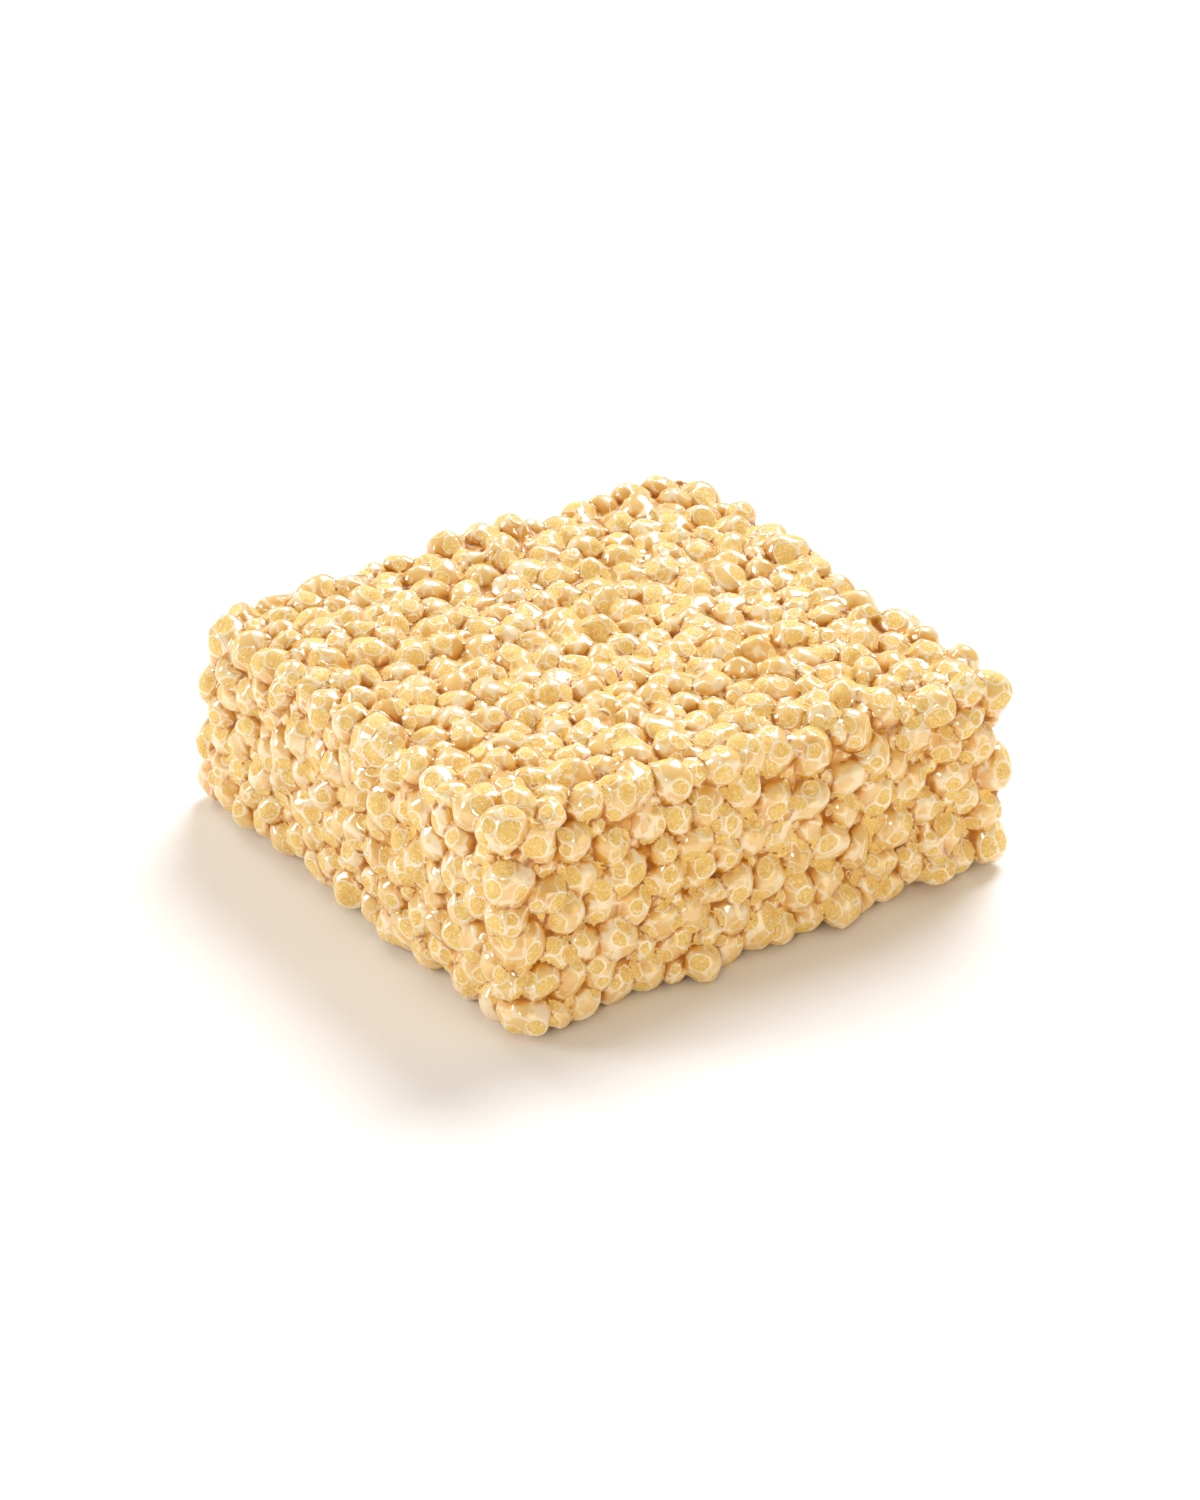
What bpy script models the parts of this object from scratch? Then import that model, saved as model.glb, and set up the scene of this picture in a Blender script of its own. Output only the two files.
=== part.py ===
"""A protein puff bar: a thick square slab of round toasted protein puffs that a soft syrup holds together.

The slab is one piece of food, so it is one solid. A smaller core of syrup and inner puffs carries the
largest puffs of the top and the four cut sides, each at its true size, up to half sunk in the core and
fused to it. The underside is the flat face that was pressed against the tray.

X runs along the longer cut side, Y along the shorter one, and Z is up. The origin is the middle of the
slab's outline, on the tray.
"""

import random

import bmesh
import bpy
from mathutils import Euler, Matrix, Vector

MM = 0.001

# Size of the slab over the tips of its puffs
LENGTH = 66.1 * MM
WIDTH = 63.2 * MM
HEIGHT = 24.6 * MM
EDGE_ROUND = 2.6 * MM

# How far each corner of the cut slab stands off a true box, by its place along X, Y and Z
CORNER_SHIFT = {
    (0, 0, 0): Vector((0.8, -1.2, 0.0)) * MM,
    (1, 0, 0): Vector((0.1, 0.8, 0.0)) * MM,
    (0, 1, 0): Vector((-0.9, 1.8, 0.0)) * MM,
    (1, 1, 0): Vector((0.0, 0.8, 0.0)) * MM,
    (0, 0, 1): Vector((-0.5, 2.2, 1.8)) * MM,
    (1, 0, 1): Vector((-0.4, 0.5, -1.0)) * MM,
    (0, 1, 1): Vector((0.2, 0.0, -0.8)) * MM,
    (1, 1, 1): Vector((0.7, 0.4, -0.1)) * MM,
}

# Heaps and dips of the top, as x, y, rise and reach
TOP_RELIEF = [
    (32.0 * MM, 6.0 * MM, 2.2 * MM, 7.0 * MM),
    (33.0 * MM, 22.0 * MM, -2.0 * MM, 3.5 * MM),
    (3.0 * MM, 31.0 * MM, 1.2 * MM, 9.0 * MM),
    (-20.0 * MM, 6.0 * MM, -1.0 * MM, 7.0 * MM),
    (6.0 * MM, 4.0 * MM, -0.9 * MM, 9.0 * MM),
    (-6.0 * MM, -22.0 * MM, 0.6 * MM, 8.0 * MM),
]

# The puffs that show most: how many, and their radius
PUFF_COUNT = 900
PUFF_RADIUS = 2.15 * MM
RADIUS_SPREAD = 0.27 * MM
SMALLEST_RADIUS = 1.5 * MM
LARGEST_RADIUS = 2.7 * MM
PUFF_STRETCH = 0.13
NESTLING = 0.75
DEPTH_SPREAD = 0.35 * MM
TRIES = 250
SEED = 41
# Puffs that stick out by half at the foot of the near side, and their radius
FOOT_PUFFS = [
    (Vector((-9.0, -31.2, 2.6)) * MM, 2.2 * MM),
    (Vector((9.5, -30.8, 2.8)) * MM, 2.4 * MM),
    (Vector((22.9, -29.9, 2.6)) * MM, 2.2 * MM),
]
# Puffs of the sides that would lie this close above the tray rest on it
TRAY_ROW = 3.0 * MM

# The core lies this far under the puffs' tips
CORE_DEPTH = 1.5 * MM
CORE_CELLS = 9
# The flat underside is this much smaller all round than the outline above it
UNDERCUT = 2.4 * MM

# Flat facets of the whole fused solid, and the angle from which an edge between them shows
MOST_FACETS = 11800
SHARP_EDGE = 0.9

CREAM = (0.86, 0.62, 0.31, 1.0)


def corner_shift(point):
    """The shift of the slab's nearest corners at this point of the true box, blended along each side."""
    share = (point.x / LENGTH + 0.5, point.y / WIDTH + 0.5, point.z / HEIGHT)
    total = Vector()
    for corner, shift in CORNER_SHIFT.items():
        weight = 1.0
        for end, along in zip(corner, share):
            weight *= along if end else 1 - along
        total += weight * shift
    return total


def top_rise(point):
    """How much the heaps and dips of the top lift this point. The tray keeps the underside flat."""
    rise = 0.0
    for x, y, height, reach in TOP_RELIEF:
        away = ((point.x - x) ** 2 + (point.y - y) ** 2) / reach**2
        rise += height * max(0.0, 1 - away / 2) ** 2
    return rise * max(0.0, point.z / HEIGHT)


def uneven(point):
    """Moves a point of the true box to its place in the uneven slab."""
    return point + corner_shift(point) + Vector((0, 0, top_rise(point)))


def rounded(point, depth=0.0):
    """Moves a point of the box's flat faces onto its rounded outline, and then inwards by the depth."""
    middle = Vector((0, 0, HEIGHT / 2))
    half = Vector((LENGTH, WIDTH, HEIGHT)) / 2
    inner = Vector(
        max(-size + EDGE_ROUND, min(size - EDGE_ROUND, value)) for value, size in zip(point - middle, half)
    )
    outward = (point - middle - inner).normalized()
    return middle + inner + outward * (EDGE_ROUND - depth)


def point_of_a_face(draw):
    """A random point on the top or one of the four sides of the true box."""
    faces = [
        ("top", LENGTH * WIDTH),
        ("long side", 2 * LENGTH * HEIGHT),
        ("short side", 2 * WIDTH * HEIGHT),
    ]
    face = draw.choices([name for name, _ in faces], [area for _, area in faces])[0]
    x, y, z = (draw.uniform(-size / 2, size / 2) for size in (LENGTH, WIDTH, HEIGHT))
    z = max(z - TRAY_ROW, -HEIGHT / 2)
    side = draw.choice((-0.5, 0.5))
    if face == "top":
        z = HEIGHT / 2
    elif face == "long side":
        y = WIDTH * side
    else:
        x = LENGTH * side
    return Vector((x, y, z + HEIGHT / 2))


def scattered_puffs():
    """Centre and radius of each large puff, the largest first, nestled together over the top and sides."""
    draw = random.Random(SEED)
    radii = sorted(
        (
            max(SMALLEST_RADIUS, min(LARGEST_RADIUS, draw.gauss(PUFF_RADIUS, RADIUS_SPREAD)))
            for _ in range(PUFF_COUNT)
        ),
        reverse=True,
    )
    puffs = list(FOOT_PUFFS)
    for radius in radii:
        for _ in range(TRIES):
            depth = radius + draw.uniform(-DEPTH_SPREAD, DEPTH_SPREAD)
            centre = uneven(rounded(point_of_a_face(draw), depth))
            centre.z = max(centre.z, radius * (1 + PUFF_STRETCH))
            if all((centre - other).length > NESTLING * (radius + size) for other, size in puffs):
                puffs.append((centre, radius))
                break
    return puffs


def puff_turns(count):
    """Stretch and turn of each puff, because no two puffs expand alike."""
    draw = random.Random(SEED + 1)
    shapes = []
    for _ in range(count):
        stretch = Vector(1 + draw.uniform(-PUFF_STRETCH, PUFF_STRETCH) for _ in range(3))
        turn = Euler([draw.uniform(-3.1, 3.1) for _ in range(3)])
        shapes.append(Matrix.LocRotScale(None, turn, stretch))
    return shapes


def new_object(name, mesh_maker, collection, material):
    """An object with the mesh that mesh_maker leaves in a bmesh."""
    mesh = bpy.data.meshes.new(name)
    bm = bmesh.new()
    mesh_maker(bm)
    bm.to_mesh(mesh)
    bm.free()
    mesh.materials.append(material)
    obj = bpy.data.objects.new(name, mesh)
    collection.objects.link(obj)
    return obj


def make_core(bm):
    """The slab under the puffs' tips, with the tray's flat print below."""
    bmesh.ops.create_cube(bm, size=1)
    bmesh.ops.subdivide_edges(bm, edges=bm.edges, cuts=CORE_CELLS - 1, use_grid_fill=True)
    for vertex in bm.verts:
        face_point = Vector(
            (vertex.co.x * LENGTH, vertex.co.y * WIDTH, (vertex.co.z + 0.5) * HEIGHT)
        )
        if vertex.co.z < -0.49:
            face_point.x *= 1 - 2 * UNDERCUT / LENGTH
            face_point.y *= 1 - 2 * UNDERCUT / WIDTH
            vertex.co = uneven(face_point)
        else:
            vertex.co = uneven(rounded(face_point, CORE_DEPTH))


def make_puff(bm):
    """A puff of radius 1 with few sides."""
    bmesh.ops.create_icosphere(bm, subdivisions=2, radius=1)


def toasted(name):
    """Toasted puffs under a soft, slightly shiny syrup."""
    material = bpy.data.materials.new(name)
    material.use_nodes = True
    shader = material.node_tree.nodes["Principled BSDF"]
    shader.inputs["Base Color"].default_value = CREAM
    shader.inputs["Roughness"].default_value = 0.4
    shader.inputs["Metallic"].default_value = 0.0
    return material


def fuse(core, puffs):
    """Joins every puff of the collection to the core as one solid, and removes the loose puffs."""
    union = core.modifiers.new("fused puffs", "BOOLEAN")
    union.operation = "UNION"
    union.operand_type = "COLLECTION"
    union.collection = puffs
    union.solver = "EXACT"
    depsgraph = bpy.context.evaluated_depsgraph_get()
    core.data = bpy.data.meshes.new_from_object(core.evaluated_get(depsgraph))
    core.modifiers.remove(union)
    core.data.shade_smooth()
    core.data.set_sharp_from_angle(angle=SHARP_EDGE)
    for puff in list(puffs.objects):
        bpy.data.objects.remove(puff)
    bpy.data.collections.remove(puffs)


def simplify(bar):
    """Merges the facets that show least, so that the solid keeps only as many as it needs."""
    facets = sum(len(face.vertices) - 2 for face in bar.data.polygons)
    fewer = bar.modifiers.new("fewer facets", "DECIMATE")
    fewer.ratio = min(1.0, MOST_FACETS / facets)
    fewer.use_collapse_triangulate = True


def main():
    for old in list(bpy.data.objects):
        bpy.data.objects.remove(old)
    bar = bpy.data.collections.new("protein puff bar")
    loose = bpy.data.collections.new("loose puffs")
    for collection in (bar, loose):
        bpy.context.scene.collection.children.link(collection)

    material = toasted("toasted puffs in syrup")
    core = new_object("puff_bar", make_core, bar, material)
    puffs = scattered_puffs()
    first = new_object("puff", make_puff, loose, material)
    for (centre, radius), shape in zip(puffs, puff_turns(len(puffs))):
        puff = bpy.data.objects.new("puff", first.data)
        puff.matrix_world = Matrix.Translation(centre) @ shape @ Matrix.Scale(radius, 4)
        loose.objects.link(puff)
    bpy.data.objects.remove(first)
    fuse(core, loose)
    simplify(core)


main()
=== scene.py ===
"""A protein puff bar on a white table: toasted protein puffs and the glossy syrup that binds them.

The slab's outline and the places of its large puffs follow the same sizes and the same seeded rule as the
solid that this scene dresses. Shapes are worked out in metres, +Z up, with the slab resting on Z = 0.
"""

import math
import random

import bmesh
import bpy
import numpy as np
import openvdb
from mathutils import Euler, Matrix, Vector


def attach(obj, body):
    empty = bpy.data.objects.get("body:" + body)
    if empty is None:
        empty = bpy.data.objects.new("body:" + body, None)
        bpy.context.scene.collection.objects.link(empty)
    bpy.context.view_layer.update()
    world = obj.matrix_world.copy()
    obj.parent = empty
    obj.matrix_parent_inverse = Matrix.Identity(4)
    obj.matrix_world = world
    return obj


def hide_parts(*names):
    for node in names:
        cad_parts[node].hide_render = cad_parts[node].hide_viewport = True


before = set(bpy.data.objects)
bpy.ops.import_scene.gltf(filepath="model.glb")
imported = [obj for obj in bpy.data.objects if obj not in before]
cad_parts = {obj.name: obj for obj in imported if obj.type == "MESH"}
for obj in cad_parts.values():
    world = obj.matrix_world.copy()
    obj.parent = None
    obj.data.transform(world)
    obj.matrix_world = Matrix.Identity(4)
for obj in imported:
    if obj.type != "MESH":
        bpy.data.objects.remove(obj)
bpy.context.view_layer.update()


# The large puffs
# Round toasted puffs of protein dough, 3 to 5.4 mm across, golden and slightly rough. They are stirred into
# warm syrup and pressed into a tray, so they lie nestled together over the top and the cut sides.
MM = 0.001

# The slab over the tips of its puffs
LENGTH = 66.1 * MM
WIDTH = 63.2 * MM
HEIGHT = 24.6 * MM
EDGE_ROUND = 2.6 * MM

# How far each corner of the cut slab stands off a true box, by its place along X, Y and Z
CORNER_SHIFT = {
    (0, 0, 0): Vector((0.8, -1.2, 0.0)) * MM,
    (1, 0, 0): Vector((0.1, 0.8, 0.0)) * MM,
    (0, 1, 0): Vector((-0.9, 1.8, 0.0)) * MM,
    (1, 1, 0): Vector((0.0, 0.8, 0.0)) * MM,
    (0, 0, 1): Vector((-0.5, 2.2, 1.8)) * MM,
    (1, 0, 1): Vector((-0.4, 0.5, -1.0)) * MM,
    (0, 1, 1): Vector((0.2, 0.0, -0.8)) * MM,
    (1, 1, 1): Vector((0.7, 0.4, -0.1)) * MM,
}

# Heaps and dips of the top, as x, y, rise and reach
TOP_RELIEF = [
    (32.0 * MM, 6.0 * MM, 2.2 * MM, 7.0 * MM),
    (33.0 * MM, 22.0 * MM, -2.0 * MM, 3.5 * MM),
    (3.0 * MM, 31.0 * MM, 1.2 * MM, 9.0 * MM),
    (-20.0 * MM, 6.0 * MM, -1.0 * MM, 7.0 * MM),
    (6.0 * MM, 4.0 * MM, -0.9 * MM, 9.0 * MM),
    (-6.0 * MM, -22.0 * MM, 0.6 * MM, 8.0 * MM),
]

# How many places are tried for large puffs, and how the puffs vary
PUFF_COUNT = 900
PUFF_RADIUS = 2.15 * MM
RADIUS_SPREAD = 0.27 * MM
SMALLEST_RADIUS = 1.5 * MM
LARGEST_RADIUS = 2.7 * MM
PUFF_STRETCH = 0.13
NESTLING = 0.75
DEPTH_SPREAD = 0.35 * MM
TRIES = 250
SEED = 41
# Puffs that stick out by half at the foot of the near side
FOOT_PUFFS = [
    (Vector((-9.0, -31.2, 2.6)) * MM, 2.2 * MM),
    (Vector((9.5, -30.8, 2.8)) * MM, 2.4 * MM),
    (Vector((22.9, -29.9, 2.6)) * MM, 2.2 * MM),
]
# Puffs of the sides that would lie this close above the tray rest on it
TRAY_ROW = 3.0 * MM


def corner_shift(x, y, z):
    """The shift of the slab's nearest corners at a point of the true box, blended along each side."""
    share = (x / LENGTH + 0.5, y / WIDTH + 0.5, z / HEIGHT)
    total = [0.0, 0.0, 0.0]
    for corner, shift in CORNER_SHIFT.items():
        weight = 1.0
        for end, along in zip(corner, share):
            weight = weight * (along if end else 1 - along)
        total = [part + weight * amount for part, amount in zip(total, shift)]
    return total


def top_rise(x, y, z):
    """How much the heaps and dips of the top lift a point. The tray keeps the underside flat."""
    rise = 0.0
    for heap_x, heap_y, height, reach in TOP_RELIEF:
        away = ((x - heap_x) ** 2 + (y - heap_y) ** 2) / reach**2
        rise = rise + height * np.maximum(0.0, 1 - away / 2) ** 2
    return rise * np.maximum(0.0, z / HEIGHT)


def uneven(point):
    """Moves a point of the true box to its place in the uneven slab."""
    return point + Vector(corner_shift(*point)) + Vector((0, 0, top_rise(*point)))


def rounded(point, depth=0.0):
    """Moves a point of the box's flat faces onto its rounded outline, and then inwards by the depth."""
    middle = Vector((0, 0, HEIGHT / 2))
    half = Vector((LENGTH, WIDTH, HEIGHT)) / 2
    inner = Vector(
        max(-size + EDGE_ROUND, min(size - EDGE_ROUND, value))
        for value, size in zip(point - middle, half)
    )
    outward = (point - middle - inner).normalized()
    return middle + inner + outward * (EDGE_ROUND - depth)


def point_of_a_face(draw):
    """A random point on the top or one of the four sides of the true box."""
    faces = [
        ("top", LENGTH * WIDTH),
        ("long side", 2 * LENGTH * HEIGHT),
        ("short side", 2 * WIDTH * HEIGHT),
    ]
    face = draw.choices([name for name, _ in faces], [area for _, area in faces])[0]
    x, y, z = (draw.uniform(-size / 2, size / 2) for size in (LENGTH, WIDTH, HEIGHT))
    z = max(z - TRAY_ROW, -HEIGHT / 2)
    side = draw.choice((-0.5, 0.5))
    if face == "top":
        z = HEIGHT / 2
    elif face == "long side":
        y = WIDTH * side
    else:
        x = LENGTH * side
    return Vector((x, y, z + HEIGHT / 2))


def scattered_puffs():
    """Centre and radius of each large puff, the largest first, nestled together over the top and sides."""
    draw = random.Random(SEED)
    radii = sorted(
        (
            max(SMALLEST_RADIUS, min(LARGEST_RADIUS, draw.gauss(PUFF_RADIUS, RADIUS_SPREAD)))
            for _ in range(PUFF_COUNT)
        ),
        reverse=True,
    )
    puffs = list(FOOT_PUFFS)
    for radius in radii:
        for _ in range(TRIES):
            depth = radius + draw.uniform(-DEPTH_SPREAD, DEPTH_SPREAD)
            centre = uneven(rounded(point_of_a_face(draw), depth))
            centre.z = max(centre.z, radius * (1 + PUFF_STRETCH))
            if all((centre - other).length > NESTLING * (radius + size) for other, size in puffs):
                puffs.append((centre, radius))
                break
    return puffs


def puff_turns(count):
    """Stretch and turn of each puff, because no two puffs expand alike."""
    draw = random.Random(SEED + 1)
    shapes = []
    for _ in range(count):
        stretch = Vector(1 + draw.uniform(-PUFF_STRETCH, PUFF_STRETCH) for _ in range(3))
        turn = Euler([draw.uniform(-3.1, 3.1) for _ in range(3)])
        shapes.append((stretch, turn))
    return shapes


WAVES = 6
WAVE_SPREAD = (0.7, 1.4)


def wave_set(length, seed):
    """Directions and phases of the waves that make one random swell with humps of this length."""
    draw = random.Random(seed)
    found = []
    for _ in range(WAVES):
        lean = Vector([draw.gauss(0, 1) for _ in range(3)]).normalized()
        lean = lean * 2 * math.pi / (length * draw.uniform(*WAVE_SPREAD))
        found.append((lean, draw.uniform(0, 2 * math.pi)))
    return found


def swell(waves, x, y, z):
    """The height of a swell at each point, mostly between -1 and 1."""
    total = sum(np.sin(lean.x * x + lean.y * y + lean.z * z + phase) for lean, phase in waves)
    return total / len(waves) ** 0.5


# How far puffs are bent out of round, and the swell along each axis that bends them
WARP = 0.2 * MM
WARP_LENGTH = 4.5 * MM
WARPS = [wave_set(WARP_LENGTH, SEED + 11 + axis) for axis in range(3)]


class Amount:
    """A number, colour or vector that a node tree works out. Sums on a number add Math nodes."""

    def __init__(self, recipe, socket):
        self.recipe = recipe
        self.socket = socket

    def other(self, output):
        return Amount(self.recipe, self.socket.node.outputs[output])

    def maths(self, operation, first, second):
        return self.recipe.add("ShaderNodeMath", {"operation": operation}, {0: first, 1: second})

    def __add__(self, value):
        return self.maths("ADD", self, value)

    def __radd__(self, value):
        return self.maths("ADD", value, self)

    def __sub__(self, value):
        return self.maths("SUBTRACT", self, value)

    def __rsub__(self, value):
        return self.maths("SUBTRACT", value, self)

    def __mul__(self, value):
        return self.maths("MULTIPLY", self, value)

    def __rmul__(self, value):
        return self.maths("MULTIPLY", value, self)

    def __rtruediv__(self, value):
        return self.maths("DIVIDE", value, self)

    def at_least(self, low):
        return self.maths("MAXIMUM", self, low)

    def rise(self, low, high):
        """0 up to low, 1 from high, and a smooth step between. It falls where high is below low."""
        settings = {"interpolation_type": "SMOOTHSTEP"}
        sockets = {"Value": self, "From Min": low, "From Max": high}
        return self.recipe.add("ShaderNodeMapRange", settings, sockets)


class Recipe:
    """The nodes of a material or of a shape, added one after the other."""

    def __init__(self, tree):
        self.tree = tree

    def add(self, kind, settings=None, sockets=None, output=0):
        node = self.tree.nodes.new(kind)
        for name, value in (settings or {}).items():
            setattr(node, name, value)
        for name, value in (sockets or {}).items():
            if isinstance(value, Amount):
                self.tree.links.new(value.socket, node.inputs[name])
            else:
                node.inputs[name].default_value = value
        return Amount(self, node.outputs[output]) if node.outputs else None

    def mix(self, share, first, second):
        """Two colours mixed: the first where the share is 0. A Mix node's colours have these places."""
        return self.add("ShaderNodeMix", {"data_type": "RGBA"}, {0: share, 6: first, 7: second}, output=2)


def shade(red, green, blue):
    """A colour as a screen shows it, 0 to 255, turned into the light it stands for."""
    parts = [value / 255 for value in (red, green, blue)]
    light = [part / 12.92 if part <= 0.04045 else ((part + 0.055) / 1.055) ** 2.4 for part in parts]
    return (*light, 1.0)


# A puff's own skin lies under the syrup, at this share of its radius, and never lower than this
UNDER_SYRUP = 0.9
LOWEST_SKIN = 0.03 * MM
LUMP_HEIGHT = 0.1 * MM
LUMP_SIZE = 1.7 * MM

GOLD = shade(230, 183, 86)
PALE_GOLD = shade(246, 212, 126)
# Near-white of the painted glints on the blisters' peaks
PAINTED_GLINT = shade(255, 246, 226)
# Sizes of the skin's pale patches and of its blisters, and how far the blisters stand out
CRUST_PATCH = 1.3 * MM
CRUST_GRAIN = 0.26 * MM
CRUST_RELIEF = 0.06 * MM
# Roughness of the dry skin, and how much smoother its glints are
DRY_SKIN = 0.62
GLINT = 0.3


def grain(recipe, size, **more):
    """A random pattern with humps of this size, fixed to the piece. Its values lie mostly near 0.5."""
    here = recipe.add("ShaderNodeTexCoord", output="Object")
    return recipe.add("ShaderNodeTexNoise", sockets={"Vector": here, "Scale": 1 / size, **more})


def crust(recipe):
    """Colour, roughness and relief of a puff's own skin: golden, dry and finely blistered, with painted
    glints on the blisters.
    """
    patch = grain(recipe, CRUST_PATCH, Detail=2.0)
    blister = grain(recipe, CRUST_GRAIN, Detail=2.0, Roughness=0.6, Distortion=0.8)
    glint = blister.rise(0.56, 0.66)
    paleness = patch.rise(0.3, 0.6) * 0.5 + blister.rise(0.36, 0.56) * 0.5
    colour = recipe.mix(paleness, GOLD, PALE_GOLD)
    # Painted highlight: the blisters' peaks are mixed towards near-white glints
    colour = recipe.mix(glint * 0.75, colour, PAINTED_GLINT)
    return colour, DRY_SKIN - glint * GLINT, blister


def toasted_finish(name):
    """Toasted protein dough where no syrup covers it."""
    material = bpy.data.materials.new(name)
    material.use_nodes = True
    recipe = Recipe(material.node_tree)
    shader = material.node_tree.nodes["Principled BSDF"]
    colour, roughness, relief = crust(recipe)
    bump = recipe.add(
        "ShaderNodeBump", sockets={"Strength": 0.8, "Distance": CRUST_RELIEF, "Height": relief}
    )
    for socket, value in (("Base Color", colour), ("Roughness", roughness), ("Normal", bump)):
        recipe.tree.links.new(value.socket, shader.inputs[socket])
    shader.inputs["Subsurface Weight"].default_value = 0.15
    shader.inputs["Subsurface Radius"].default_value = (1.0, 0.5, 0.2)
    shader.inputs["Subsurface Scale"].default_value = 0.8 * MM
    return material


def puff_tree(name, fineness, material):
    """Geometry Nodes that set a lumpy puff on each point, turned and stretched as the point says."""
    tree = bpy.data.node_groups.new(name, "GeometryNodeTree")
    tree.interface.new_socket("Geometry", in_out="INPUT", socket_type="NodeSocketGeometry")
    for size in ("Lump height", "Lump size", "Lowest skin"):
        tree.interface.new_socket(size, in_out="INPUT", socket_type="NodeSocketFloat")
    tree.interface.new_socket("Geometry", in_out="OUTPUT", socket_type="NodeSocketGeometry")
    recipe = Recipe(tree)
    given = recipe.add("NodeGroupInput")
    ball = recipe.add("GeometryNodeMeshIcoSphere", sockets={"Radius": 1.0, "Subdivisions": fineness})
    turn, size = (
        recipe.add(
            "GeometryNodeInputNamedAttribute", {"data_type": "FLOAT_VECTOR"}, {"Name": word}, "Attribute"
        )
        for word in ("turn", "size")
    )
    turn = recipe.add("FunctionNodeEulerToRotation", sockets={"Euler": turn})
    placed = recipe.add(
        "GeometryNodeInstanceOnPoints",
        sockets={"Points": given, "Instance": ball, "Rotation": turn, "Scale": size},
    )
    puffs = recipe.add("GeometryNodeRealizeInstances", sockets={"Geometry": placed})
    lumps = recipe.add(
        "ShaderNodeTexNoise",
        {"noise_dimensions": "4D"},
        {
            "Vector": recipe.add("GeometryNodeInputPosition"),
            "W": float(SEED),
            "Scale": 1.0 / given.other("Lump size"),
            "Detail": 1.0,
        },
    )
    outward = recipe.add("GeometryNodeInputNormal")
    push = recipe.add(
        "ShaderNodeVectorMath",
        {"operation": "SCALE"},
        {"Vector": outward, "Scale": (lumps - 0.5) * given.other("Lump height") * 2},
    )
    puffs = recipe.add("GeometryNodeSetPosition", sockets={"Geometry": puffs, "Offset": push})
    place = recipe.add("GeometryNodeInputPosition")
    apart = recipe.add("ShaderNodeSeparateXYZ", sockets={"Vector": place})
    height = apart.other("Z").at_least(given.other("Lowest skin"))
    pressed = recipe.add("ShaderNodeCombineXYZ", sockets={"X": apart, "Y": apart.other("Y"), "Z": height})
    puffs = recipe.add("GeometryNodeSetPosition", sockets={"Geometry": puffs, "Position": pressed})
    puffs = recipe.add("GeometryNodeSetShadeSmooth", sockets={"Geometry": puffs})
    puffs = recipe.add("GeometryNodeSetMaterial", sockets={"Geometry": puffs, "Material": material})
    recipe.add("NodeGroupOutput", sockets={"Geometry": puffs})
    return tree


def baked(obj):
    """Turns an object's modifiers into its plain mesh."""
    depsgraph = bpy.context.evaluated_depsgraph_get()
    mesh = bpy.data.meshes.new_from_object(obj.evaluated_get(depsgraph))
    obj.modifiers.clear()
    obj.data = mesh
    mesh.name = obj.name


def corners_of(piece):
    """The places of all of a piece's corners, one row each."""
    places = np.zeros(len(piece.data.vertices) * 3)
    piece.data.vertices.foreach_get("co", places)
    return places.reshape(-1, 3)


def bend(piece):
    """Bends the puffs out of round, by the same swell that the syrup's shape follows."""
    straight = corners_of(piece)
    bent = straight
    for _ in range(2):
        bent = straight - WARP * np.stack([swell(waves, *bent.T) for waves in WARPS], axis=1)
    bent[:, 2] = np.maximum(bent[:, 2], LOWEST_SKIN)
    piece.data.vertices.foreach_set("co", bent.ravel())
    piece.data.update()


# A ball of 80 faces for a puff, and of 20 for a crumb
PUFF_FINENESS = 2
CRUMB_FINENESS = 1


def add_puff_piece(name, puffs, shapes, fineness, material):
    """One mesh of all the puffs of a kind, on the slab."""
    mesh = bpy.data.meshes.new(name)
    mesh.from_pydata([centre for centre, _ in puffs], [], [])
    for word, vectors in (
        ("turn", [turn for _, turn in shapes]),
        ("size", [stretch * radius * UNDER_SYRUP for (_, radius), (stretch, _) in zip(puffs, shapes)]),
    ):
        layer = mesh.attributes.new(word, "FLOAT_VECTOR", "POINT")
        layer.data.foreach_set("vector", [part for vector in vectors for part in vector])
    piece = bpy.data.objects.new(name, mesh)
    bpy.context.scene.collection.objects.link(piece)
    tree = puff_tree(name, fineness, material)
    shaper = piece.modifiers.new("puffs on points", "NODES")
    shaper.node_group = tree
    sizes = {"Lump height": LUMP_HEIGHT, "Lump size": LUMP_SIZE, "Lowest skin": LOWEST_SKIN}
    for item in tree.interface.items_tree:
        if item.in_out == "INPUT" and item.name in sizes:
            shaper[item.identifier] = sizes[item.name]
    baked(piece)
    bend(piece)
    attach(piece, "root")


toasted = toasted_finish("toasted puff skin")
large_puffs = scattered_puffs()
large_shapes = puff_turns(len(large_puffs))
add_puff_piece("large_puffs", large_puffs, large_shapes, PUFF_FINENESS, toasted)


# The smaller puffs and crumbs
# Broken and under-grown puffs fall between the large ones, the finest as crumbs in the hollows. Others
# show on the underside, where the tray pressed them flat.
SMALL_COUNT = 400
SMALL_RADIUS = (1.0 * MM, 1.6 * MM)
SMALL_SINK = (0.8 * MM, 1.9 * MM)
CRUMB_COUNT = 240
CRUMB_RADIUS = (0.38 * MM, 0.75 * MM)
CRUMB_SINK = (1.3 * MM, 2.5 * MM)
PRESSED_COUNT = 330
PRESSED_RADIUS = (1.7 * MM, 2.5 * MM)
# The height of a pressed puff's centre above the tray, and how far it keeps from the slab's edge
PRESSED_SINK = 0.8
PRESSED_INSET = 2.5 * MM
# How near two puffs may come, as a share of the sum of their radii
SMALL_CLOSENESS = 0.66
PRESSED_CLOSENESS = 0.8
CRUMB_CLOSENESS = 0.72
FILLER_TRIES = 60


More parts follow.
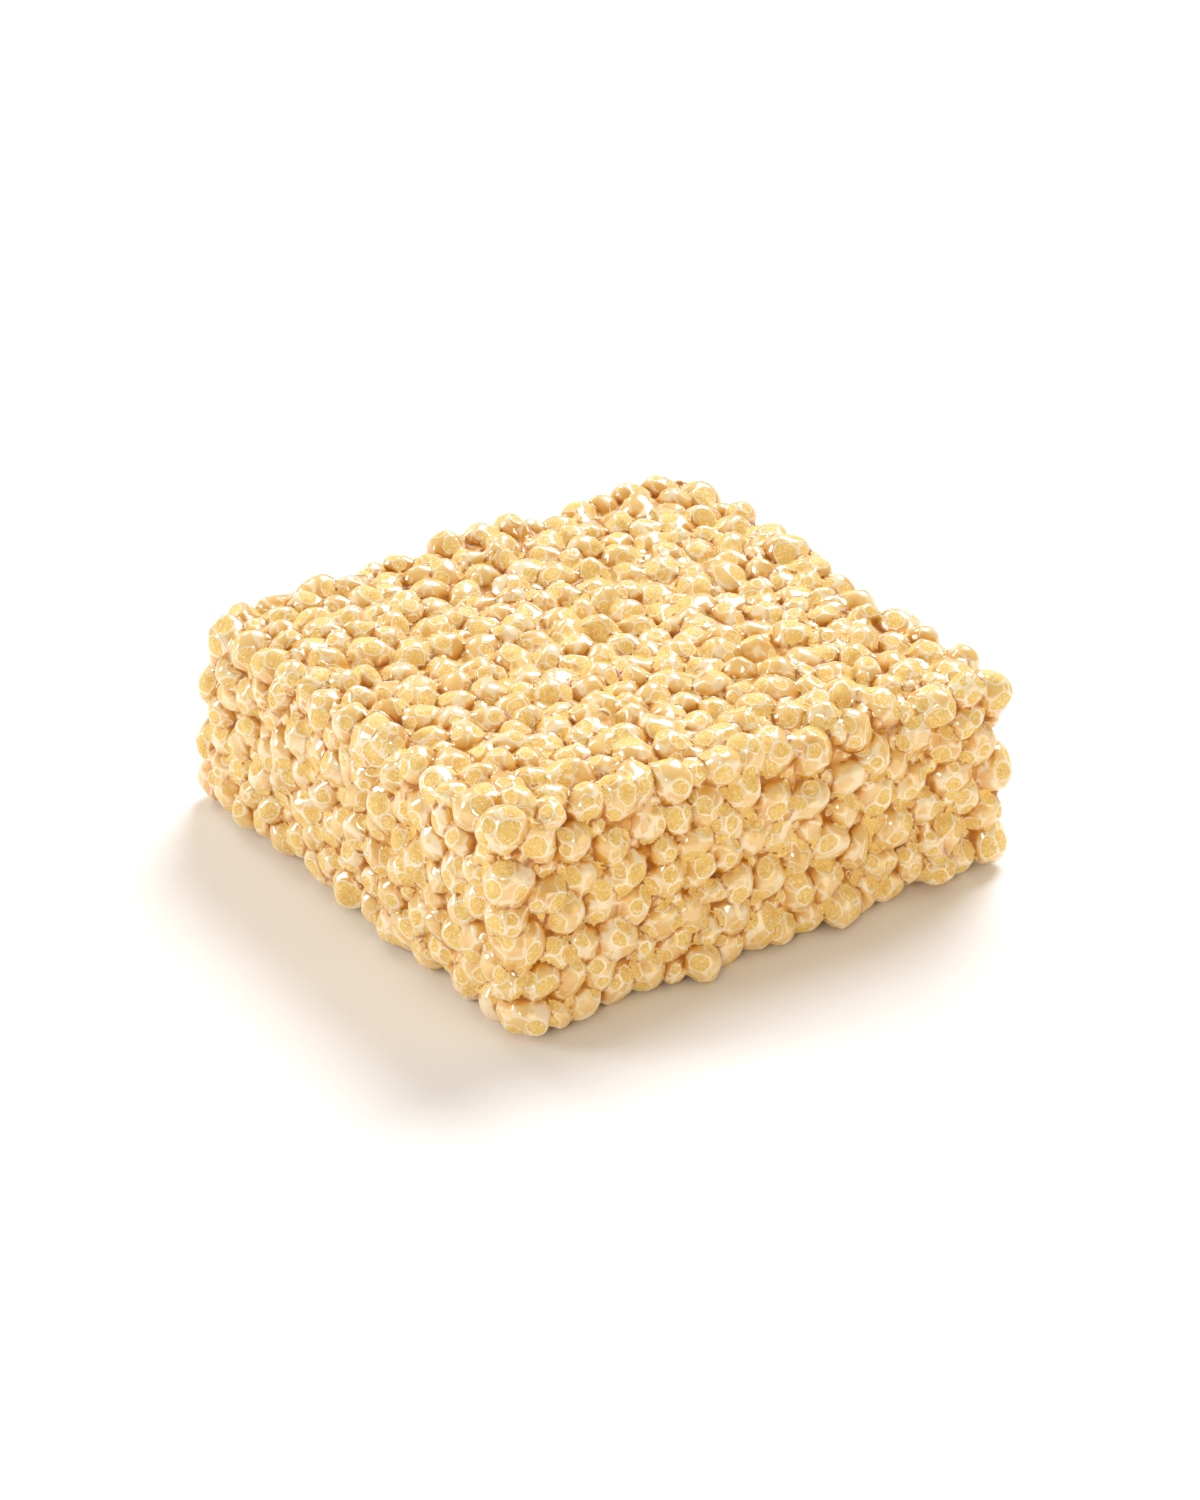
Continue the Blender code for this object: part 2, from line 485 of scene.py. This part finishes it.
def nestled(draw, count, radii, place, closeness, others):
    """Centres and radii of puffs that find room among the others, the largest first."""
    sizes = sorted((draw.uniform(*radii) for _ in range(count)), reverse=True)
    known = np.array([[*centre, radius] for centre, radius in others])
    found = []
    for radius in sizes:
        for _ in range(FILLER_TRIES):
            centre = place(draw, radius)
            away = np.linalg.norm(known[:, :3] - np.array(centre), axis=1)
            if (away - closeness * (radius + known[:, 3])).min() > 0:
                found.append((centre, radius))
                known = np.vstack((known, [*centre, radius]))
                break
    return found


def between_puffs(sink):
    """A rule that places a puff just under the tips of the large ones."""

    def place(draw, radius):
        centre = uneven(rounded(point_of_a_face(draw), radius + draw.uniform(*sink)))
        centre.z = max(centre.z, radius * (1 + PUFF_STRETCH))
        return centre

    return place


def on_the_tray(draw, radius):
    """A place on the underside, so low that the tray flattens the puff."""
    x = draw.uniform(-0.5, 0.5) * (LENGTH - 2 * PRESSED_INSET)
    y = draw.uniform(-0.5, 0.5) * (WIDTH - 2 * PRESSED_INSET)
    flat = uneven(Vector((x, y, 0.0)))
    return Vector((flat.x, flat.y, radius * PRESSED_SINK))


filler_draw = random.Random(SEED + 2)
small_puffs = nestled(
    filler_draw, SMALL_COUNT, SMALL_RADIUS, between_puffs(SMALL_SINK), SMALL_CLOSENESS, large_puffs
)
others = large_puffs + small_puffs
pressed_puffs = nestled(
    filler_draw, PRESSED_COUNT, PRESSED_RADIUS, on_the_tray, PRESSED_CLOSENESS, others
)
crumbs = nestled(
    filler_draw, CRUMB_COUNT, CRUMB_RADIUS, between_puffs(CRUMB_SINK), CRUMB_CLOSENESS, others
)
all_puffs = large_puffs + pressed_puffs + small_puffs + crumbs
first_pressed = len(large_puffs)
first_small = first_pressed + len(pressed_puffs)
first_crumb = first_small + len(small_puffs)
all_shapes = large_shapes + puff_turns(len(all_puffs))[first_pressed:]
pressed_shapes = all_shapes[first_pressed:first_small]
small_shapes = all_shapes[first_small:first_crumb]
crumb_shapes = all_shapes[first_crumb:]
add_puff_piece("pressed_puffs", pressed_puffs, pressed_shapes, PUFF_FINENESS, toasted)
add_puff_piece("small_puffs", small_puffs, small_shapes, PUFF_FINENESS, toasted)
add_puff_piece("crumbs", crumbs, crumb_shapes, CRUMB_FINENESS, toasted)


# The syrup
# A cream-coloured syrup of melted marshmallow coats the puffs, stands up in ridges where it was stretched
# from one to the next, and is spun out in webs. On the crowns it has drawn back and bares the golden skin.

# The cells of the grid that its shape is worked out on, and the grid's room round, over and under the slab
CELL = 0.25 * MM
MARGIN = 2.4 * MM
HEADROOM = 3 * MM
FOOTROOM = 3 * CELL

# The syrup's core lies this far under the puffs' tips, and its lowest part this far above the tray
CORE_DEPTH = 1.75 * MM
CORE_LIFT = 0.5 * MM

# How thick the coat is, and how softly it fills the gaps, which differs from patch to patch
COAT = 0.06 * MM
BLEND = 0.125 * MM
BLEND_SPREAD = 0.9
BLEND_PATCH = 7 * MM

# How deep inside a puff, and how far outside, its part in the syrup's shape is worked out, and the
# distance and amount that stand for none at all
DEEPEST = 1.5 * MM
REACH = 1.7 * MM
FAR = 9 * MM
LEAST_MASS = 1e-30

# Webs from one large puff to another near it, as wide as these shares of the smaller one's radius
WEB_COUNT = 400
WEB_REACH = 5.4 * MM
WEB_WIDTHS = (0.15, 0.2, 0.3, 0.45, 0.7)

# Ridges run where either of two swells passes through its middle, and only the cells this near to the skin
# are moved by them
RIDGE_LENGTHS = (3.1 * MM, 3.9 * MM)
FILM_RIDGES = [wave_set(length, SEED + 21 + index) for index, length in enumerate(RIDGE_LENGTHS)]
RIDGE_HEIGHT = 0.14 * MM
RIDGE_WIDTH = 0.75
RIDGE_SHARPNESS = 0.8
SKIN_REACH = 1.2 * MM

SYRUP_TRIANGLES = 190000

low_corner = np.array([-LENGTH / 2 - MARGIN, -WIDTH / 2 - MARGIN, -FOOTROOM], dtype=np.float32)
counts = np.ceil((np.array([LENGTH, WIDTH, HEIGHT + HEADROOM]) + 2 * MARGIN) / CELL).astype(int)
axes = [low_corner[i] + CELL * np.arange(counts[i], dtype=np.float32) for i in range(3)]
grid = np.meshgrid(*axes, indexing="ij", sparse=True)
softness = BLEND_SPREAD * swell(wave_set(BLEND_PATCH, SEED + 10), *grid)
blend = (BLEND * np.exp(softness)).astype(np.float32)
warp = [(WARP * swell(waves, *grid)).astype(np.float32) for waves in WARPS]


def core_distance(x, y, z):
    """Distance to the slab under the puffs' tips, negative inside."""
    shift = corner_shift(x, y, z)
    rise = top_rise(x, y, z)
    top = HEIGHT - CORE_DEPTH
    span = (
        np.abs(x - shift[0]) - (LENGTH / 2 - CORE_DEPTH - EDGE_ROUND),
        np.abs(y - shift[1]) - (WIDTH / 2 - CORE_DEPTH - EDGE_ROUND),
        np.abs(z - shift[2] - rise - (top + CORE_LIFT) / 2) - ((top - CORE_LIFT) / 2 - EDGE_ROUND),
    )
    outside = np.sqrt(sum(np.maximum(part, 0.0) ** 2 for part in span))
    return outside + np.minimum(np.maximum(np.maximum(span[0], span[1]), span[2]), 0.0) - EDGE_ROUND


def box_of(lowest, highest, reach):
    """The grid's cells within reach of the box between two corners."""
    first = np.floor((np.minimum(lowest, highest) - reach - low_corner) / CELL).astype(int)
    last = np.ceil((np.maximum(lowest, highest) + reach - low_corner) / CELL).astype(int) + 1
    return tuple(slice(max(0, a), max(0, b)) for a, b in zip(first, last))


def cells_from(block, centre):
    """Steps along X, Y and Z from a point to each cell of a block, a little warped."""
    parts = [axes[i][block[i]] - np.float32(centre[i]) for i in range(3)]
    steps = np.meshgrid(*parts, indexing="ij", sparse=True)
    return [step + push[block] for step, push in zip(steps, warp)]


def add_mass(block, gap):
    """Adds what lies this far from the cells of a block to the syrup."""
    mass[block] += np.exp(-np.maximum(gap, -DEEPEST) / blend[block])


centres = np.array([centre[:] for centre, _ in all_puffs])
radii = np.array([radius for _, radius in all_puffs])
stretches = np.array([stretch[:] for stretch, _ in all_shapes])
turns = np.array([np.array(turn.to_matrix()) for _, turn in all_shapes])

mass = np.exp(-np.maximum(core_distance(*grid), -DEEPEST) / blend).astype(np.float32)
closest = np.full(counts, FAR, dtype=np.float32)
second = closest.copy()
owner = np.zeros(counts, dtype=np.int16)
for index in range(len(all_puffs)):
    block = box_of(centres[index], centres[index], radii[index] + REACH)
    step = cells_from(block, centres[index])
    turned = [
        sum(turns[index][i][k] * step[i] for i in range(3)) / stretches[index][k] for k in range(3)
    ]
    gap = (np.sqrt(turned[0] ** 2 + turned[1] ** 2 + turned[2] ** 2) - radii[index]).astype(np.float32)
    add_mass(block, gap)
    second[block] = np.minimum(second[block], np.maximum(gap, closest[block]))
    nearer = gap < closest[block]
    closest[block][nearer] = gap[nearer]
    owner[block][nearer] = index

web_draw = random.Random(SEED + 3)
for _ in range(WEB_COUNT):
    one = web_draw.randrange(len(large_puffs))
    away = np.linalg.norm(centres[: len(large_puffs)] - centres[one], axis=1)
    near = [int(k) for k in np.argsort(away)[1:] if away[k] < WEB_REACH]
    other = web_draw.choice(near or [one])
    width = web_draw.choice(WEB_WIDTHS) * min(radii[one], radii[other])
    line = centres[other] - centres[one]
    block = box_of(centres[one], centres[other], width + REACH)
    step = cells_from(block, centres[one])
    along = np.clip(sum(step[i] * line[i] for i in range(3)) / max(line.dot(line), CELL**2), 0, 1)
    gap = np.sqrt(sum((step[i] - along * line[i]) ** 2 for i in range(3))) - width
    add_mass(block, gap)

syrup = -blend * np.log(mass + LEAST_MASS)
del mass, warp

# Where the film has drawn back from each puff: round windows with bands of film between them. Sizes are
# shares of the puff's radius, and the first window faces outwards more than the others have to.
WINDOW_COUNTS = (3, 4, 4, 5, 5, 6, 6, 7, 7)
MOST_WINDOWS = 7
WINDOW_SIZES = (0.28, 0.52)
WINDOW_CLOSENESS = 0.85
WINDOW_TRIES = 20
FIRST_WINDOW = 0.6
LATER_WINDOW = 0.05
WINDOW_BAND = 0.26 * MM
WINDOW_DEPTH = 0.11 * MM
WINDOW_SOFTNESS = 0.3 * MM
# Film thicker than this closes a window, the faster the thicker it is
THICK_FILM = 0.4 * MM
CLOSING = 3
EDGE_REACH = 5 * MM
# A puff nearer than this to two sides of the slab faces outwards between them
SIDE_MARGIN = 3.5 * MM
# An empty place for a window, far from every direction
NO_WINDOW = 9.0


def facing(index):
    """The way out of the slab from a puff."""
    if first_pressed <= index < first_small:
        return Vector((0, 0, -1))
    centre, radius = all_puffs[index]
    flat = centre - Vector(corner_shift(*centre)) - Vector((0, 0, top_rise(*centre)))
    room = radius + SIDE_MARGIN
    inner = Vector(
        (
            max(room - LENGTH / 2, min(LENGTH / 2 - room, flat.x)),
            max(room - WIDTH / 2, min(WIDTH / 2 - room, flat.y)),
            min(HEIGHT - room, flat.z),
        )
    )
    return (flat - inner).normalized()


window_draw = random.Random(SEED + 4)
outwards = np.array([facing(index)[:] for index in range(len(all_puffs))])
windows = np.full((len(all_puffs), MOST_WINDOWS, 3), NO_WINDOW)
window_sizes = np.zeros((len(all_puffs), MOST_WINDOWS))
for index, (_, radius) in enumerate(all_puffs[:first_crumb]):
    outward = facing(index)
    for window in range(window_draw.choice(WINDOW_COUNTS)):
        for _ in range(WINDOW_TRIES):
            size = window_draw.uniform(*WINDOW_SIZES) * radius
            unit = Vector([window_draw.gauss(0, 1) for _ in range(3)]).normalized()
            apart = np.linalg.norm(windows[index] - unit, axis=1) * radius
            apart = apart - WINDOW_CLOSENESS * (window_sizes[index] + size)
            turned_out = unit.dot(outward) > (LATER_WINDOW if window else FIRST_WINDOW)
            if turned_out and apart.min() > 0:
                windows[index, window] = unit
                window_sizes[index, window] = size
                break


def unbent(points):
    """Where each point of the bent puffs lies on the true ones."""
    return points + WARP * np.stack([swell(waves, *points.T) for waves in WARPS], axis=1)


def crown_height(points, owners):
    """How far up its puff's crown each point stands, as a share of the puff's radius."""
    return np.einsum("ij,ij->i", points - centres[owners], outwards[owners]) / radii[owners]


def window_edge(points, owners, film):
    """Distance from each point to its puff's nearest window's edge, negative where the film is gone."""
    outward = points - centres[owners]
    outward = outward / np.linalg.norm(outward, axis=1, keepdims=True)
    steps = np.linalg.norm(outward[:, None, :] - windows[owners], axis=2) * radii[owners, None]
    steps = np.sort(steps - window_sizes[owners], axis=1)
    edge = np.maximum(steps[:, 0], (WINDOW_BAND - steps[:, 1] + steps[:, 0]) / 2)
    return np.clip(edge + CLOSING * np.maximum(film - THICK_FILM, 0), -EDGE_REACH, EDGE_REACH)


def off_the_crest(points):
    """How far each point lies from the nearest crest of the film's ridges: 0 on it, about 1 between two."""
    return np.minimum(*[np.abs(swell(waves, *points.T)) for waves in FILM_RIDGES])


near_skin = np.nonzero(np.abs(syrup) < SKIN_REACH)
near_places = np.stack([axes[i][near_skin[i]] for i in range(3)], axis=1)
sunk = np.clip(off_the_crest(near_places) / RIDGE_WIDTH, 0, 1) ** RIDGE_SHARPNESS
window_gap = window_edge(unbent(near_places), owner[near_skin], closest[near_skin])
bared = np.clip(0.5 - window_gap / WINDOW_SOFTNESS, 0, 1)
syrup[near_skin] += RIDGE_HEIGHT * (sunk - 0.5) + WINDOW_DEPTH * bared - COAT

# The tray's flat print
syrup = np.maximum(syrup, -grid[2])

# How much syrup and puff lies round each cell: half on a flat skin, more in a hollow, less on a crown. The
# finish darkens the hollows by it, as painted shade
CAVITY_REACH = 4
filled = np.clip(0.5 - syrup / CELL, 0, 1)
for axis in range(3):
    last = filled.shape[axis] - 1
    filled = np.cumsum(filled, axis=axis, dtype=np.float64)
    ahead = np.minimum(np.arange(last + 1) + CAVITY_REACH, last)
    behind = np.maximum(np.arange(last + 1) - CAVITY_REACH - 1, 0)
    filled = np.take(filled, ahead, axis=axis) - np.take(filled, behind, axis=axis)
filled = filled / (2 * CAVITY_REACH + 1) ** 3


def keep_largest_shell(mesh):
    """Drops the bubbles that the syrup seals and the loose drops beside it."""
    bm = bmesh.new()
    bm.from_mesh(mesh)
    left = set(bm.verts)
    shells = []
    while left:
        shell = [left.pop()]
        for vertex in shell:
            found = {edge.other_vert(vertex) for edge in vertex.link_edges} & left
            left -= found
            shell.extend(found)
        shells.append(shell)
    shells.sort(key=len)
    bmesh.ops.delete(bm, geom=[vertex for shell in shells[:-1] for vertex in shell], context="VERTS")
    bm.to_mesh(mesh)
    bm.free()


film_grid = openvdb.FloatGrid(FOOTROOM)
film_grid.copyFromArray(syrup.astype(np.float64))
film_grid.transform = openvdb.createLinearTransform(voxelSize=1.0)
corners, triangles, quads = film_grid.convertToPolygons(isovalue=0.0, adaptivity=0.0)
corners = corners * CELL + low_corner
syrup_mesh = bpy.data.meshes.new("syrup")
syrup_mesh.from_pydata(corners.tolist(), [], quads.tolist() + triangles.tolist())
syrup_piece = bpy.data.objects.new("syrup", syrup_mesh)
bpy.context.scene.collection.objects.link(syrup_piece)
fewer = syrup_piece.modifiers.new("fewer facets", "DECIMATE")
fewer.ratio = SYRUP_TRIANGLES / (2 * len(quads) + len(triangles))
baked(syrup_piece)
keep_largest_shell(syrup_piece.data)

CREAM = shade(244, 204, 126)
# Tan of the thicker syrup low on the puffs, and of the painted shade in the hollows
TAN_AND_PAINTED_SHADE = shade(222, 158, 40)
# Brown of the painted shade in deep hollows and along the creases between puffs
PAINTED_SHADE_BROWN = shade(170, 96, 2)
# Pale colour of thin film at a window's rim, partly painted highlight; also the painted highlight on the
# crests
PALE_RIM_AND_HIGHLIGHT = shade(255, 243, 212)
CREAM_PATCH = 5 * MM
# How far the windows' outlines stray from round, and over what length
WOBBLE = 0.3 * MM
WOBBLE_LENGTH = 0.8 * MM
# The pale rim's far and near side, and the width of the painted shade along the crease between two puffs
RIM_WIDTH = (0.19 * MM, 0.1 * MM)
CREASE_SHADE_WIDTH = (0.26 * MM, 0.04 * MM)
FILM_ROUGHNESS = 0.32
# Relief of the film's edge, of its rim and of the bare skin's blisters, in millimetres
EDGE_RELIEF = 0.035
RIM_RELIEF = 0.015
BLISTER_RELIEF = 0.06


def syrup_finish(name):
    """Cream-coloured syrup, golden skin where it is bare, a pale rim round each window that is partly
    painted highlight, painted highlight on the crests, and painted shade in the hollows and creases.
    """
    material = bpy.data.materials.new(name)
    material.use_nodes = True
    recipe = Recipe(material.node_tree)
    shader = material.node_tree.nodes["Principled BSDF"]
    edge, crown, crease, cavity, crest = (
        recipe.add("ShaderNodeAttribute", {"attribute_name": word}, output="Fac")
        for word in ("window edge", "crown", "crease", "cavity", "crest")
    )
    edge = edge + (grain(recipe, WOBBLE_LENGTH, Detail=1.0) - 0.5) * WOBBLE
    bare = edge.rise(0.02 * MM, -0.02 * MM)
    rim = edge.rise(*RIM_WIDTH) * edge.rise(-0.03 * MM, 0.02 * MM) * crease.rise(0.1 * MM, 0.5 * MM)
    patchy = grain(recipe, CREAM_PATCH, Detail=1.0)
    skin, skin_roughness, blister = crust(recipe)
    # Tan lower on each puff and cream on its crown: thicker syrup low down, and partly painted shade
    colour = recipe.mix(crown.rise(-0.15, 0.75) * patchy.rise(0.15, 0.5), TAN_AND_PAINTED_SHADE, CREAM)
    # Painted shade: tan and then brown where more syrup and puff lies round, and a brown line along each
    # crease
    colour = recipe.mix(cavity.rise(0.42, 0.58) * 0.85, colour, TAN_AND_PAINTED_SHADE)
    colour = recipe.mix(cavity.rise(0.54, 0.72) * 0.9, colour, PAINTED_SHADE_BROWN)
    colour = recipe.mix(crease.rise(*CREASE_SHADE_WIDTH) * 0.9, colour, PAINTED_SHADE_BROWN)
    # Painted highlight: a pale streak along the crests of the film's ridges, kept out of the hollows
    colour = recipe.mix(crest.rise(0.22, 0.04) * cavity.rise(0.6, 0.5) * 0.65, colour, PALE_RIM_AND_HIGHLIGHT)
    # The pale rim of thin film round each window, partly painted highlight
    colour = recipe.mix(rim * 0.85, colour, PALE_RIM_AND_HIGHLIGHT)
    colour = recipe.mix(bare, colour, skin)
    roughness = FILM_ROUGHNESS + bare * (skin_roughness - FILM_ROUGHNESS)
    height = edge.rise(-0.08 * MM, 0.06 * MM) * EDGE_RELIEF + rim * RIM_RELIEF
    height = height + bare * blister * BLISTER_RELIEF
    bump = recipe.add("ShaderNodeBump", sockets={"Strength": 1.0, "Distance": MM, "Height": height})
    for socket, value in (
        ("Base Color", colour),
        ("Roughness", roughness),
        ("Coat Weight", (1 - bare) * cavity.rise(0.64, 0.5)),
        ("Normal", bump),
    ):
        recipe.tree.links.new(value.socket, shader.inputs[socket])
    shader.inputs["IOR"].default_value = 1.45
    shader.inputs["Coat Roughness"].default_value = 0.1
    shader.inputs["Coat IOR"].default_value = 1.85
    shader.inputs["Subsurface Weight"].default_value = 0.05
    shader.inputs["Subsurface Radius"].default_value = (1.0, 0.75, 0.45)
    shader.inputs["Subsurface Scale"].default_value = 0.7 * MM
    return material


# What the finish reads at each corner of the film: it counts as a crown only this near to a puff, and as
# clear of every crease from this far on
CROWN_FILM = 1 * MM
WIDEST_CREASE = 2 * MM
film_places = corners_of(syrup_piece)
true_places = unbent(film_places)
cells = tuple(np.clip(np.round((film_places - low_corner) / CELL).astype(int), 0, counts - 1).T)
owners = owner[cells]
film = closest[cells]
for word, values in (
    ("window edge", window_edge(true_places, owners, film)),
    ("crown", np.where(film < CROWN_FILM, crown_height(true_places, owners), 0.0)),
    ("crease", np.minimum(second[cells] - film, WIDEST_CREASE)),
    ("cavity", filled[cells]),
    ("crest", off_the_crest(film_places)),
):
    layer = syrup_piece.data.attributes.new(word, "FLOAT", "POINT")
    layer.data.foreach_set("value", values.astype(np.float32))
syrup_piece.data.materials.append(syrup_finish("glossy syrup"))
syrup_piece.data.shade_smooth()
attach(syrup_piece, "root")
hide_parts("puff_bar")


# The table, the light and the camera
# The bar lies on a plain white table in a warm room. The strongest lamp, broad and soft, stands high behind
# it. Weaker ones stand behind on the left, low at the left, in front, and low at the right, where the light
# is yellow.
TABLE_SIZE = 3.0
TABLE_DROP = 0.02 * MM
table = bpy.data.objects.new("table", bpy.data.meshes.new("table"))
half_table = TABLE_SIZE / 2
table_corners = [
    (x * half_table, y * half_table, -TABLE_DROP) for x, y in ((-1, -1), (1, -1), (1, 1), (-1, 1))
]
table.data.from_pydata(table_corners, [], [(0, 1, 2, 3)])
bpy.context.scene.collection.objects.link(table)
white = bpy.data.materials.new("white table")
white.use_nodes = True
table_shader = white.node_tree.nodes["Principled BSDF"]
table_shader.inputs["Base Color"].default_value = shade(250, 249, 248)
table_shader.inputs["Roughness"].default_value = 0.7
table.data.materials.append(white)

world = bpy.data.worlds.new("warm room")
world.use_nodes = True
glow = world.node_tree.nodes["Background"]
glow.inputs["Color"].default_value = shade(255, 244, 234)
glow.inputs["Strength"].default_value = 0.42
bpy.context.scene.world = world

CAMERA_TURN = -34.22
CAMERA_HEIGHT = 29.07


def lamp(name, turn, height, power, softness, colour=(1.0, 1.0, 1.0)):
    """A broad soft light, as far round from the camera and as high as the two angles say."""
    light = bpy.data.lights.new(name, "SUN")
    light.energy = power
    light.angle = math.radians(softness)
    light.color = colour
    obj = bpy.data.objects.new(name, light)
    obj.rotation_euler = (math.radians(90 - height), 0, math.radians(CAMERA_TURN + turn))
    bpy.context.scene.collection.objects.link(obj)


lamp("lamp_behind", turn=158, height=46, power=2.85, softness=32, colour=(0.88, 0.93, 1.0))
lamp("lamp_behind_left", turn=-145, height=34, power=0.45, softness=14)
lamp("lamp_at_the_left", turn=-94, height=20, power=1.22, softness=22, colour=(0.93, 0.97, 1.0))
lamp("lamp_in_front", turn=-14, height=32, power=0.52, softness=13, colour=(1.0, 0.95, 0.85))
lamp("lamp_at_the_right", turn=52, height=14, power=0.56, softness=40, colour=(1.0, 0.81, 0.45))

camera = bpy.data.objects.new("camera", bpy.data.cameras.new("camera"))
camera.data.lens = 103.2
camera.data.sensor_width = 36.0
camera.location = (-0.2313, -0.3395, 0.2388)
camera.rotation_euler = (math.radians(90 - CAMERA_HEIGHT), 0, math.radians(CAMERA_TURN))
bpy.context.scene.collection.objects.link(camera)
bpy.context.scene.camera = camera
bpy.context.scene.view_settings.view_transform = "Standard"
